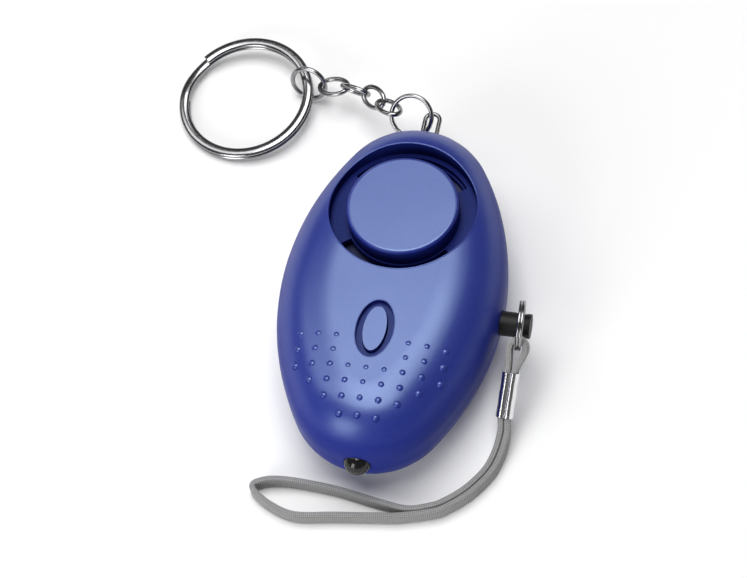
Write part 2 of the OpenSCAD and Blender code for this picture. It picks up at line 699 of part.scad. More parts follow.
// Two flat coils side by side, with a groove between them
module key_section() {
    w = key_wire_w / 2;
    t = key_wire_t / 2;
    c = key_chamfer;
    g = key_groove;
    polygon([[w, g], [w, t - c], [w - c, t], [c - w, t], [-w, t - c], [-w, g], [g - w, 0],
        [-w, -g], [-w, c - t], [c - w, -t], [w - c, -t], [w, c - t], [w, -g], [w - g, 0]]);
}

front_shell();
rear_shell();
sounder_cap();
sounder_plate();
sounder_ceramic();
sounder_leads();
circuit_board();
boost_coil();
control_chip();
driver_transistor();
switch_body();
switch_plunger();
light_button();
contact_fixed();
switch_leaf();
button_cells();
cell_contact();
cell_spring();
lamp_lens();
lamp_leads();
case_screws();
keyring_staple();
pull_pin();
pin_ring();
strap_eye();
crimp_ferrule();
wrist_strap();
staple_ring();
chain_link(1);  // chain_link_1
chain_link(2);  // chain_link_2
chain_link(3);  // chain_link_3
chain_link(4);  // chain_link_4
end_ring();
key_ring();
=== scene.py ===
"""Looks of an oval pocket safety alarm: paint, wire, woven strap, lamp, light and camera."""
import json
import math

import bpy
from mathutils import Matrix, Vector

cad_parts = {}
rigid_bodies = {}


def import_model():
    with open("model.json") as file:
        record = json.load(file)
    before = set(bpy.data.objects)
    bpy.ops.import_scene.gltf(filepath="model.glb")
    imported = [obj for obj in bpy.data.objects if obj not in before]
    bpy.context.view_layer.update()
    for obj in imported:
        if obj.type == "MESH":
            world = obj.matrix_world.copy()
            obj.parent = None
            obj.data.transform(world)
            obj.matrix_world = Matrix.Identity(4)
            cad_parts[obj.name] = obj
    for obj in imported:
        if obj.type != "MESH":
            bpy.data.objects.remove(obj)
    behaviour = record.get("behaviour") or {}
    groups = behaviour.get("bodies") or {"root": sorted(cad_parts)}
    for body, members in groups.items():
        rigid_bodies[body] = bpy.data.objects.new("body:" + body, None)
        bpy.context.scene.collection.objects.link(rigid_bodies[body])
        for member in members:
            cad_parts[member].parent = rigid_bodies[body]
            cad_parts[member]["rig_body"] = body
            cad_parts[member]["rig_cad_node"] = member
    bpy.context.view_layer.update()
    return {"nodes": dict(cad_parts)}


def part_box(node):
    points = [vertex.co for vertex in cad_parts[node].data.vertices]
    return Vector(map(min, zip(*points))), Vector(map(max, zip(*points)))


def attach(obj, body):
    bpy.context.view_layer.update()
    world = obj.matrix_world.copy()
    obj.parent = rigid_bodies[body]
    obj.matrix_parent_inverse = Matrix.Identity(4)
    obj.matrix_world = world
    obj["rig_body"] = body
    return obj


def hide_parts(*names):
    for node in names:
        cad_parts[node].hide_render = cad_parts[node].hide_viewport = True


bl_info = {
    "name": "Pocket safety alarm",
    "version": (1, 0, 0),
    "blender": (4, 5, 0),
    "location": "View3D > Sidebar > Alarm",
    "description": "Builds the finished look of an oval pocket safety alarm round its solids",
    "category": "Object",
}

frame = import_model()
MM = 0.001

# Camera fitted to the photograph: turn, rise and roll in degrees, lengths in millimetres, offset in pixels
PHOTO_W = 747
PX_PER_MM = 5.35
CAMERA_ANGLES = (19.8, 59.5, -10.3)
CAMERA_AIM = (0, 0, 10)
CAMERA_REACH = 480
CAMERA_OFFSET = (-20.4, 11.8)
SENSOR = 36

# Sounder opening and the button's oval groove, repeated from the solids, in millimetres
SOUNDER_Y, SOUNDER_R = 14, 14
BUTTON_Y, GROOVE_HALF_W, GROOVE_HALF_L = -12.7, 3.5, 6

# Soft lights: name, direction, reach, width and length in metres, power in watts
LIGHTS = [
    ("top_softbox", (-0.02, 0.15, 0.98), 1.0, 0.56, 0.86, 7.8),
    ("left_softbox", (-0.52, 0.12, 0.82), 1.0, 0.4, 0.8, 2.0),
    ("front_card", (-0.4, -0.84, 0.36), 0.85, 0.34, 0.56, 3.2),
]
ROOM_LEVEL = 0.08
FLOOR_GLOW = 0.06


class AlarmSizes(bpy.types.PropertyGroup):
    """Sizes that set the finish of the alarm's pieces."""

    tape_width: bpy.props.FloatProperty(
        name="Tape width", description="Width of the woven tape", default=3 * MM, subtype="DISTANCE")
    tape_thick: bpy.props.FloatProperty(
        name="Tape thickness", description="Thickness of the woven tape", default=1.1 * MM, subtype="DISTANCE")
    wire: bpy.props.FloatProperty(
        name="Chain wire", description="Wire diameter of the chain", default=0.95 * MM, subtype="DISTANCE")
    weave_pitch: bpy.props.FloatProperty(
        name="Weave pitch", description="Length of one stitch of the tape", default=0.75 * MM, subtype="DISTANCE")


class AlarmColours(bpy.types.PropertyGroup):
    """Colours of the alarm's finishes."""

    paint: bpy.props.FloatVectorProperty(
        name="Paint", description="Metallic case paint", default=(0.018, 0.03, 0.25), subtype="COLOR")
    flake: bpy.props.FloatVectorProperty(
        name="Flake", description="Tint of the metal flake's shine", default=(0.56, 0.73, 1.0), subtype="COLOR")
    wire: bpy.props.FloatVectorProperty(
        name="Wire", description="Plated wire of rings and chain", default=(0.37, 0.37, 0.38), subtype="COLOR")
    tape: bpy.props.FloatVectorProperty(
        name="Tape", description="Woven wrist strap", default=(0.29, 0.29, 0.29), subtype="COLOR")
    plug: bpy.props.FloatVectorProperty(
        name="Plug", description="Black moulded pull pin", default=(0.006, 0.006, 0.0065), subtype="COLOR")


def sizes():
    return bpy.context.scene.alarm_sizes


def colours():
    return bpy.context.scene.alarm_colours


def clear_choice():
    """Leave edit mode and let go of everything."""
    if bpy.context.object and bpy.context.object.mode != "OBJECT":
        bpy.ops.object.mode_set(mode="OBJECT")
    bpy.ops.object.select_all(action="DESELECT")


def take(obj):
    clear_choice()
    obj.select_set(True)
    bpy.context.view_layer.objects.active = obj


def settle(obj):
    """Put the object's place into its mesh."""
    take(obj)
    bpy.ops.object.transform_apply(location=True, rotation=True, scale=True)


def fair_copy(node, name, angle=None, skin=False):
    """A merged copy of a CAD node. It keeps the solid's own normals, or is smoothed by an angle."""
    take(frame["nodes"][node])
    bpy.ops.object.duplicate()
    piece = bpy.context.active_object
    piece.name = name
    piece.parent = None
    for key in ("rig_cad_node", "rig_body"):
        if key in piece:
            del piece[key]
    mesh = piece.data
    mesh.materials.clear()
    kept = mesh.attributes.new("solid_normal", "FLOAT_VECTOR", "CORNER")
    for k, corner in enumerate(mesh.corner_normals):
        kept.data[k].vector = corner.vector
    bpy.ops.object.mode_set(mode="EDIT")
    bpy.ops.mesh.select_all(action="SELECT")
    bpy.ops.mesh.remove_doubles(threshold=2e-6)
    bpy.ops.mesh.customdata_custom_splitnormals_clear()
    bpy.ops.object.mode_set(mode="OBJECT")
    kept = mesh.attributes["solid_normal"]
    normals = [tuple(one.vector) for one in kept.data]
    mesh.attributes.remove(kept)
    if angle is None:
        bpy.ops.object.shade_smooth()
        if skin:
            for face in mesh.polygons:
                for k in face.loop_indices:
                    true = skin_normal(mesh.vertices[mesh.loops[k].vertex_index].co / MM)
                    if true and true.dot(face.normal) > 0.975:
                        normals[k] = tuple(true)
        mesh.normals_split_custom_set(normals)
    else:
        bpy.ops.object.shade_smooth_by_angle(angle=math.radians(angle))
    return piece


def give(piece, node, body, finish):
    """Hand the piece its place in the frame and its finish."""
    piece.data.materials.clear()
    piece.data.materials.append(finish)
    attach(piece, body)
    if node:
        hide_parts(node)
    return piece


def pick_edges(piece, test):
    """Select the edges whose two ends pass the test, in edit mode."""
    take(piece)
    bpy.ops.object.mode_set(mode="EDIT")
    bpy.ops.mesh.select_mode(type="EDGE")
    bpy.ops.mesh.select_all(action="DESELECT")
    bpy.ops.object.mode_set(mode="OBJECT")
    spots = piece.data.vertices
    count = 0
    for edge in piece.data.edges:
        a, b = (spots[k].co / MM for k in edge.vertices)
        edge.select = bool(test(a, b))
        count += edge.select
    bpy.ops.object.mode_set(mode="EDIT")
    return count


def round_edges(piece, test, width, segments=3):
    if pick_edges(piece, test):
        bpy.ops.mesh.bevel(offset=width, segments=segments, affect="EDGES", clamp_overlap=True)
    bpy.ops.object.mode_set(mode="OBJECT")


class Finish:
    """A node material being put together."""

    def __init__(self, name):
        self.made = bpy.data.materials.new(name)
        self.made.use_nodes = True
        self.tree = self.made.node_tree
        self.shader = self.tree.nodes["Principled BSDF"]
        self.where = self.tree.nodes.new("ShaderNodeTexCoord")

    def add(self, kind, **values):
        node = self.tree.nodes.new(kind)
        for key, value in values.items():
            setattr(node, key, value)
        return node

    def join(self, a, b):
        self.tree.links.new(a, b)

    def noise(self, scale, detail):
        node = self.add("ShaderNodeTexNoise")
        node.inputs["Scale"].default_value = scale
        node.inputs["Detail"].default_value = detail
        self.join(self.where.outputs["Object"], node.inputs["Vector"])
        return node

    def ramp(self, value, low, high, at=(0.3, 0.7)):
        node = self.add("ShaderNodeValToRGB")
        node.color_ramp.elements[0].position = at[0]
        node.color_ramp.elements[1].position = at[1]
        node.color_ramp.elements[0].color = (*low, 1)
        node.color_ramp.elements[1].color = (*high, 1)
        self.join(value, node.inputs["Fac"])
        return node

    def span(self, value, low, high):
        node = self.add("ShaderNodeMapRange")
        node.inputs["To Min"].default_value = low
        node.inputs["To Max"].default_value = high
        self.join(value, node.inputs["Value"])
        return node

    def ease(self, value, low, high, least, most):
        """A smooth step, from the least at low to the most at high."""
        node = self.add("ShaderNodeMapRange", interpolation_type="SMOOTHSTEP")
        for name, level in (("From Min", low), ("From Max", high), ("To Min", least), ("To Max", most)):
            node.inputs[name].default_value = level
        self.join(value, node.inputs["Value"])
        return node.outputs["Result"]

    def reckon(self, operation, *values):
        """One step of arithmetic on values in the tree."""
        node = self.add("ShaderNodeMath", operation=operation)
        for k, value in enumerate(values):
            self.join(value, node.inputs[k])
        return node.outputs[0]

    def bump(self, height, strength, distance):
        node = self.add("ShaderNodeBump")
        node.inputs["Strength"].default_value = strength
        node.inputs["Distance"].default_value = distance
        self.join(height, node.inputs["Height"])
        self.join(node.outputs["Normal"], self.shader.inputs["Normal"])

    def set(self, **values):
        for key, value in values.items():
            self.shader.inputs[key.replace("_", " ")].default_value = value


def shade(colour, k):
    return tuple(min(1.0, c * k) for c in colour)


def metallic_paint():
    """Fine metal-flake paint: navy with a tinted shine, painted shade in the sounder recess and the button's
    groove, and a painted weaker shine on the sides.
    """
    f = Finish("metallic_paint")
    base = tuple(colours().paint)
    grain = f.noise(5200, 2.0)
    cloud = f.noise(120, 3.0)
    tone = f.ramp(grain.outputs["Fac"], shade(base, 0.85), shade(base, 1.18), (0.35, 0.66))
    # Painted shade in the sounder recess and the button's groove darkens the base colour and the shine.
    recess_shade = recess_painted_shade(f)
    # Painted shade on the sides: their shine is cut by how far they turn from straight up or down.
    flake = side_painted_shade(f)
    # Base colour darkened to half at the bottom of the recess and the groove: painted shade.
    shaded_base = f.add("ShaderNodeVectorMath", operation="SCALE")
    f.join(tone.outputs["Color"], shaded_base.inputs[0])
    f.join(f.span(recess_shade, 0.5, 1.0).outputs["Result"], shaded_base.inputs["Scale"])
    f.join(shaded_base.outputs["Vector"], f.shader.inputs["Base Color"])
    # Shine painted weaker in the recess, the groove and on the sides: painted shade.
    shine = f.reckon("MULTIPLY", recess_shade, f.span(flake, 0.03, 0.5).outputs["Result"])
    f.join(shine, f.shader.inputs["Specular IOR Level"])
    patchy = f.span(cloud.outputs["Fac"], -0.05, 0.05).outputs["Result"]
    rough = f.reckon("ADD", patchy, f.span(flake, 0.42, 0.34).outputs["Result"])
    f.join(rough, f.shader.inputs["Roughness"])
    f.bump(grain.outputs["Fac"], 0.1, 0.00004)
    f.set(IOR=2.12, Specular_Tint=(*colours().flake, 1))
    return f.made


def side_painted_shade(f):
    """Painted shade by facing: 1 on faces that look straight up or down, falling to 0 on the sides, where the
    paint gets less shine and more roughness.
    """
    way = f.add("ShaderNodeSeparateXYZ")
    f.join(f.where.outputs["Normal"], way.inputs["Vector"])
    return f.ease(f.reckon("ABSOLUTE", way.outputs["Z"]), 0.38, 0.97, 0.0, 1.0)


def recess_painted_shade(f):
    """Painted shade: full colour and shine outside, darker and less shiny down in the sounder recess and the
    button's groove, the deeper the darker.
    """
    place = f.add("ShaderNodeSeparateXYZ")
    f.join(f.where.outputs["Object"], place.inputs["Vector"])

    def pit(centre_y, half_w, half_l, low, high, least):
        spot = f.add("ShaderNodeMapping")
        spot.inputs["Location"].default_value = (0, -centre_y / half_l, 0)
        spot.inputs["Scale"].default_value = (1 / (half_w * MM), 1 / (half_l * MM), 0)
        f.join(f.where.outputs["Object"], spot.inputs["Vector"])
        size = f.add("ShaderNodeVectorMath", operation="LENGTH")
        f.join(spot.outputs["Vector"], size.inputs[0])
        inside = f.add("ShaderNodeMath", operation="LESS_THAN")
        inside.inputs[1].default_value = 1.0
        f.join(size.outputs["Value"], inside.inputs[0])
        depth = f.ease(place.outputs["Z"], low * MM, high * MM, least, 1.0)
        mix = f.add("ShaderNodeMix", data_type="FLOAT")
        mix.inputs["A"].default_value = 1.0
        f.join(inside.outputs[0], mix.inputs["Factor"])
        f.join(depth, mix.inputs["B"])
        return mix.outputs["Result"]

    past = 0.02
    # Painted shade: darkest at the bottom of the sounder recess and of the button's groove.
    recess = pit(SOUNDER_Y, SOUNDER_R + past, SOUNDER_R + past, 17.9, 21.3, 0.08)
    groove = pit(BUTTON_Y, GROOVE_HALF_W + past, GROOVE_HALF_L + past, 20.9, 21.9, 0.05)
    return f.reckon("MULTIPLY", recess, groove)


def plated_wire(name, tint, rough=(0.12, 0.26), marks=0.08):
    """Bright plated steel with faint drawing marks."""
    f = Finish(name)
    grain = f.noise(900, 4.0)
    wear = f.noise(150, 2.0)
    tone = f.ramp(wear.outputs["Fac"], shade(tint, 0.82), tint)
    f.join(tone.outputs["Color"], f.shader.inputs["Base Color"])
    spread = f.span(grain.outputs["Fac"], *rough)
    f.join(spread.outputs["Result"], f.shader.inputs["Roughness"])
    f.bump(grain.outputs["Fac"], marks, 0.00003)
    f.set(Metallic=1.0)
    return f.made


def moulded(name, tint, rough, metal=0.0, scale=1800, shine=0.5):
    """Moulded or bare surface with a fine grain."""
    f = Finish(name)
    grain = f.noise(scale, 3.0)
    patch = f.noise(scale / 14, 2.0)
    tone = f.ramp(patch.outputs["Fac"], shade(tint, 0.86), shade(tint, 1.1))
    f.join(tone.outputs["Color"], f.shader.inputs["Base Color"])
    spread = f.span(grain.outputs["Fac"], rough - 0.06, rough + 0.08)
    f.join(spread.outputs["Result"], f.shader.inputs["Roughness"])
    f.bump(grain.outputs["Fac"], 0.15, 0.00004)
    f.set(Metallic=metal, Specular_IOR_Level=shine)
    return f.made


def woven_tape():
    """Plain-weave tape: rows of stitches along the tape's own map."""
    f = Finish("woven_tape")
    tint = tuple(colours().tape)
    parts = f.add("ShaderNodeSeparateXYZ")
    f.join(f.where.outputs["UV"], parts.inputs["Vector"])

    def wave(value):
        times = f.add("ShaderNodeMath", operation="MULTIPLY")
        times.inputs[1].default_value = 2 * math.pi
        f.join(value, times.inputs[0])
        return f.reckon("SINE", times.outputs[0])

    product = f.reckon("MULTIPLY", wave(parts.outputs["X"]), wave(parts.outputs["Y"]))
    height = f.reckon("ABSOLUTE", product)
    fuzz = f.noise(3600, 3.0)
    total = f.add("ShaderNodeMath", operation="MULTIPLY_ADD")
    total.inputs[1].default_value = 0.35
    f.join(fuzz.outputs["Fac"], total.inputs[0])
    f.join(height, total.inputs[2])
    tone = f.ramp(total.outputs[0], shade(tint, 0.62), shade(tint, 1.3), (0.12, 0.8))
    f.join(tone.outputs["Color"], f.shader.inputs["Base Color"])
    f.bump(total.outputs[0], 0.6, 0.00012)
    f.set(Roughness=0.86, Sheen_Weight=0.3, Sheen_Roughness=0.5)
    return f.made


def clear_lamp():
    """Clear moulded lamp body with faint swirls."""
    f = Finish("clear_lamp")
    swirl = f.noise(300, 2.0)
    tone = f.ramp(swirl.outputs["Fac"], (0.06, 0.06, 0.06), (0.1, 0.1, 0.1))
    f.join(tone.outputs["Color"], f.shader.inputs["Base Color"])
    f.set(Transmission_Weight=0.85, Roughness=0.04, IOR=1.42)
    return f.made


STORE = {}


def finish(name):
    """The named finish, made once."""
    makers = {
        "paint": metallic_paint,
        "wire": lambda: plated_wire("plated_wire", tuple(colours().wire)),
        "ferrule": lambda: plated_wire("crimp_metal", (0.86, 0.86, 0.87), (0.2, 0.3), 0.02),
        "steel": lambda: plated_wire("zinc_steel", (0.5, 0.5, 0.52), (0.3, 0.45)),
        "cell": lambda: plated_wire("cell_steel", (0.62, 0.63, 0.65), (0.2, 0.34)),
        "brass": lambda: plated_wire("brass_sheet", (0.72, 0.5, 0.18), (0.24, 0.4)),
        # The dark navy colour on the brass sounder plate is painted shade, so the plate under the slots reads as
        # the shaded groove.
        "shaded_plate": lambda: moulded("brass_plate_painted_shade", (0.007, 0.012, 0.08), 0.6),
        "plug": lambda: moulded("black_plug", tuple(colours().plug), 0.5, shine=0.3),
        "black": lambda: moulded("black_moulding", (0.02, 0.02, 0.022), 0.5),
        "grey": lambda: moulded("grey_moulding", (0.12, 0.12, 0.13), 0.5),
        "ceramic": lambda: moulded("ceramic_disc", (0.7, 0.68, 0.6), 0.6),
        "red": lambda: moulded("red_insulation", (0.45, 0.03, 0.025), 0.45),
        "board": lambda: moulded("green_board", (0.02, 0.16, 0.06), 0.4, 0.0, 700),
        "coil": lambda: moulded("coil_wire", (0.32, 0.12, 0.04), 0.35, 0.6, 2600),
        "reflector": lambda: moulded("lamp_cup", (0.05, 0.05, 0.055), 0.3, 0.6),
        "tape": woven_tape,
        "lamp": clear_lamp,
    }
    if name not in STORE:
        STORE[name] = makers[name]()
    return STORE[name]


# Routes of the tape, repeated from the solids, in millimetres
STRAND_GAP = 1.24
JOINED = [(24.1, -15.4, 7.35), (23.9, -18.6, 5), (24.1, -21.2, 3.3), (23.7, -24.4, 2), (22.7, -28, 1.6),
          (21, -31, 1.55), (18.8, -33.8, 1.55), (16.2, -36.1, 1.55), (13.8, -37.6, 1.55)]
LOOP = [(8, -39.95, 1.55), (3.3, -40.65, 1.55), (-4, -41.6, 1.55), (-11, -42.55, 1.55), (-15.7, -41.3, 1.55),
        (-19, -39.3, 1.55), (-20, -37.9, 1.55), (-19, -36.9, 1.55), (-16.4, -36.05, 1.55), (-12, -35.85, 1.55),
        (-4.7, -36.35, 1.55), (0.5, -37.2, 1.55), (4.6, -37.9, 1.55), (9.2, -38.35, 1.55)]
EYE = [(24.7, -15.1, 7.57), (24.9, -11.8, 10), (26, -9.6, 11.6), (26.45, -8.4, 12.45), (26.2, -7.4, 13.2),
       (25, -6.8, 13.6), (23.8, -7.4, 13.2), (23.5, -8.4, 12.45), (23.6, -9.6, 11.6), (23.66, -11.8, 10),
       (23.46, -15.1, 7.57)]
EYE_UP = Vector((0, -2.5, 3.4)).normalized()
FERRULE = (Vector((24.28, -11.8, 10)), Vector((23.88, -18.6, 5)))


def tangent(points, k):
    return (points[min(k + 1, len(points) - 1)] - points[max(k - 1, 0)]).normalized()


def beside(points, k, d):
    t = tangent(points, k)
    return points[k] + d * Vector((-t.y, t.x, 0)).normalized()


def strap_route():
    run = [Vector(p) for p in JOINED]
    n = len(run)
    return ([beside(run, k, STRAND_GAP / 2) for k in range(n)] + [Vector(p) for p in LOOP]
            + [beside(run, k, -STRAND_GAP / 2) for k in reversed(range(n))])


def smooth(points, steps):
    """A curve through all the points."""
    made = []
    last = len(points) - 1
    for k in range(last):
        a, b, c, d = points[max(k - 1, 0)], points[k], points[k + 1], points[min(k + 2, last)]
        for s in range(steps):
            t = s / steps
            made.append(0.5 * (2 * b + (c - a) * t + (2 * a - 5 * b + 4 * c - d) * t * t
                               + (3 * b - a - 3 * c + d) * t ** 3))
    return made + [points[last]]


def tape_mesh(name, points, up=None):
    """A flat woven tape along the points, with a map that runs along it in stitches."""
    half_w = sizes().tape_width / 2 / MM
    half_t = sizes().tape_thick / 2 / MM
    edge = 0.3
    corner = [(half_t, y) for y in (edge - half_w, -0.5, 0.5, half_w - edge)]
    corner += [(half_t - edge * 0.3, half_w - edge * 0.3), (0.12, half_w), (-0.12, half_w),
               (-half_t + edge * 0.3, half_w - edge * 0.3)]
    corner += [(-x, -y) for x, y in corner]
    m = len(corner)
    around = [0.0]
    for j in range(m):
        a, b = corner[j], corner[(j + 1) % m]
        around.append(around[-1] + math.hypot(b[0] - a[0], b[1] - a[1]))
    spots, along = [], [0.0]
    for k, p in enumerate(points):
        t = tangent(points, k)
        side = (t.cross(up) if up else Vector((t.y, -t.x, 0))).normalized()
        high = side.cross(t)
        spots += [(p + x * side + y * high) * MM for x, y in corner]
        if k:
            along.append(along[-1] + (p - points[k - 1]).length)
    n = len(points)
    quads = [(k * m + j, (k + 1) * m + j, (k + 1) * m + (j + 1) % m, k * m + (j + 1) % m)
             for k in range(n - 1) for j in range(m)]
    caps = [tuple(range(m)), tuple((n - 1) * m + j for j in reversed(range(m)))]
    mesh = bpy.data.meshes.new(name)
    mesh.from_pydata(spots, [], quads + caps)
    pitch = sizes().weave_pitch / MM
    turns = round(around[-1] / pitch)
    chart = mesh.uv_layers.new(name="stitches")
    for face in mesh.polygons:
        k, j = divmod(face.index, m)
        for corner_index, loop in enumerate(face.loop_indices):
            if face.index >= len(quads):
                chart.data[loop].uv = (0, 0)
                continue
            dk, dj = ((0, 0), (1, 0), (1, 1), (0, 1))[corner_index]
            chart.data[loop].uv = (along[k + dk] / pitch, around[j + dj] / around[-1] * turns)
    piece = bpy.data.objects.new(name, mesh)
    bpy.context.scene.collection.objects.link(piece)
    take(piece)
    bpy.ops.object.mode_set(mode="EDIT")
    bpy.ops.mesh.select_all(action="SELECT")
    bpy.ops.mesh.normals_make_consistent(inside=False)
    bpy.ops.object.mode_set(mode="OBJECT")
    bpy.ops.object.shade_smooth_by_angle(angle=math.radians(50))
    return piece, along[-1] * MM


# Arcs of the case's outline and of its edge, repeated from the solids, in millimetres
SIDE_C, SIDE_R = 30.9876, 51.9876
END_C, END_R = 19.7568, 15.2376
EDGE_R, EASE_R, HIGH = 9.5, 17, 22
JOIN_ANGLE = math.atan2(0.5376, 0.8432)
BEND = math.radians(74)
FLAT_D = EDGE_R * (1 - math.cos(BEND)) + EASE_R * math.cos(BEND)
EDGE_Z = HIGH - EDGE_R * math.sin(BEND) - EASE_R * (1 - math.sin(BEND))


def skin_depth(x, y):
    """How far a point lies inside the case's outline, and the way out of it."""
    if math.atan2(abs(y), abs(x) + SIDE_C) < JOIN_ANGLE:
        away = Vector((math.copysign(abs(x) + SIDE_C, x), y))
        return SIDE_R - away.length, away.normalized()
    away = Vector((x, math.copysign(abs(y) - END_C, y)))
    return END_R - away.length, away.normalized()


def skin_height(x, y):
    """Height of the front skin over the table at a point, as in the solids."""
    d = skin_depth(x, y)[0]
    if d > FLAT_D:
        return HIGH
    if d > EDGE_R * (1 - math.cos(BEND)):
        return HIGH - EASE_R + math.sqrt(EASE_R ** 2 - (FLAT_D - d) ** 2)
    return EDGE_Z + math.sqrt(EDGE_R ** 2 - (EDGE_R - d) ** 2)


def skin_normal(p):
    """Normal of the case's smooth skin at a point on it, or nothing off it."""
    d, out = skin_depth(p.x, p.y)
    side = 1 if p.z >= HIGH / 2 else -1
    z = p.z if side > 0 else HIGH - p.z
    if d > FLAT_D - 0.02:
        return Vector((0, 0, side)) if abs(z - HIGH) < 0.03 else None
    if z <= EDGE_Z:
        return Vector((out.x, out.y, 0)) if d < 0.08 else None
    for along, up, r in ((FLAT_D - d, z - HIGH + EASE_R, EASE_R), (EDGE_R - d, z - EDGE_Z, EDGE_R)):
        if abs(math.hypot(along, up) - r) < 0.08:
            turn_in = along / math.hypot(along, up)
            if r == EDGE_R or turn_in <= math.cos(BEND) + 0.01:
                return Vector((out.x * turn_in, out.y * turn_in, side * up / math.hypot(along, up)))
    return None


def wire_along(name, spots, half_w, half_t, closed=False):
    """A mesh of wire with an oval section along the points, flat in Z."""
    clear_choice()
    bpy.ops.curve.primitive_bezier_circle_add(radius=1.0)
    section = bpy.context.object
    section.scale = (half_w * MM, half_t * MM, 1)
    bpy.ops.object.transform_apply(location=False, rotation=False, scale=True)
    section.data.resolution_u = 6
    line = bpy.data.curves.new(name, "CURVE")
    line.dimensions = "3D"
    line.twist_mode = "Z_UP"
    line.bevel_mode = "OBJECT"
    line.bevel_object = section
    line.use_fill_caps = not closed
    run = line.splines.new("POLY")
    run.points.add(len(spots) - 1)
    for point, spot in zip(run.points, spots):
        point.co = (*spot, 1)
    run.use_cyclic_u = closed
    piece = bpy.data.objects.new(name, line)
    bpy.context.scene.collection.objects.link(piece)
    take(piece)
    bpy.ops.object.convert(target="MESH")
    bpy.data.objects.remove(section)
    bpy.ops.object.mode_set(mode="EDIT")
    bpy.ops.mesh.select_all(action="SELECT")
    bpy.ops.mesh.remove_doubles(threshold=1e-6)
    bpy.ops.mesh.normals_make_consistent(inside=False)
    bpy.ops.object.mode_set(mode="OBJECT")
    bpy.ops.object.shade_smooth_by_angle(angle=math.radians(50))
    return piece


class ALARM_OT_camera(bpy.types.Operator):
    """Places the camera at the photograph's viewing angle"""

    bl_idname = "alarm.camera"
    bl_label = "Camera"

    def execute(self, context):
        a, e, r = (math.radians(v) for v in CAMERA_ANGLES)
        back = Vector((math.sin(a) * math.cos(e), -math.cos(a) * math.cos(e), math.sin(e)))
        level = Vector((math.cos(a), math.sin(a), 0))
        rise = back.cross(level)
        right = level * math.cos(r) + rise * math.sin(r)
        up = rise * math.cos(r) - level * math.sin(r)
        spot = Vector(CAMERA_AIM) * MM + back * (CAMERA_REACH * MM)
        clear_choice()
        bpy.ops.object.camera_add()
        eye = context.object
        eye.name = "camera"
        eye.matrix_world = Matrix((
            (right.x, up.x, back.x, spot.x), (right.y, up.y, back.y, spot.y),
            (right.z, up.z, back.z, spot.z), (0, 0, 0, 1)))
        eye.data.sensor_width = SENSOR
        eye.data.lens = SENSOR * PX_PER_MM * CAMERA_REACH / PHOTO_W
        eye.data.shift_x = CAMERA_OFFSET[0] / PHOTO_W
        eye.data.shift_y = CAMERA_OFFSET[1] / PHOTO_W
        eye.data.clip_start = 0.01
        context.scene.camera = eye
        return {"FINISHED"}


class ALARM_OT_strap(bpy.types.Operator):
    """Weaves the wrist strap, its eye and the crimped ferrule"""

    bl_idname = "alarm.strap"
    bl_label = "Wrist strap"

    def execute(self, context):
        route = smooth(strap_route(), 6)
        strap, length = tape_mesh("wrist_strap_woven", route)
        give(strap, "wrist_strap", "strap", finish("tape"))
        eye, _ = tape_mesh("strap_eye_woven", smooth([Vector(p) for p in EYE], 6), EYE_UP)
        give(eye, "strap_eye", "strap", finish("tape"))
        ferrule = self.ferrule()
        give(ferrule, "crimp_ferrule", "strap", finish("ferrule"))
        return {"FINISHED"}

    def ferrule(self):
        """A crimped sleeve with two lobes, one round each strand."""
        start, end = FERRULE
        run = end - start
        clear_choice()
        bpy.ops.mesh.primitive_circle_add(vertices=96, radius=1.0, fill_type="NOTHING")
        sleeve = bpy.context.object
        sleeve.name = "crimp_ferrule_lobed"
        half_w, half_h, square, waist = 1.63, 1.97, 0.7, 0.74
        for spot in sleeve.data.vertices:
            t = math.atan2(spot.co.y, spot.co.x)
            x = half_w * math.copysign(abs(math.cos(t)) ** square, math.cos(t))
            y = half_h * math.copysign(abs(math.sin(t)) ** square, math.sin(t))
            lobe = max(0.0, 1 - ((abs(x) - half_w / 2) / (half_w / 2 + 0.02)) ** 2)
            y *= waist + (1 - waist) * math.sqrt(lobe)
            spot.co = Vector((x, y, 0)) * MM
        take(sleeve)
        bpy.ops.object.mode_set(mode="EDIT")
        bpy.ops.mesh.select_all(action="SELECT")
        steps = 8
        rise = (0, 0, run.length * MM / steps)
        for _ in range(steps):
            bpy.ops.mesh.extrude_region_move(TRANSFORM_OT_translate={"value": rise})
        bpy.ops.mesh.select_all(action="SELECT")
        bpy.ops.mesh.normals_make_consistent(inside=False)
        bpy.ops.object.mode_set(mode="OBJECT")
        for spot in sleeve.data.vertices:
            z = spot.co.z / (run.length * MM)
            spot.co.x *= 1 - 0.045 * sum(math.exp(-((z - at) / 0.09) ** 2) for at in (0.3, 0.7))
        wall = sleeve.modifiers.new("wall", "SOLIDIFY")
        wall.thickness = 0.3 * MM
        wall.offset = -1
        wall.use_even_offset = True
        bpy.ops.object.modifier_apply(modifier="wall")
        axis = run.normalized()
        wide = Vector((1, 0, 0)) - axis * axis.x
        wide.normalize()
        tall = axis.cross(wide)
        sleeve.matrix_world = Matrix((
            (wide.x, tall.x, axis.x, start.x * MM), (wide.y, tall.y, axis.y, start.y * MM),
            (wide.z, tall.z, axis.z, start.z * MM), (0, 0, 0, 1)))
        settle(sleeve)
        bpy.ops.object.shade_smooth_by_angle(angle=math.radians(40))
        return sleeve


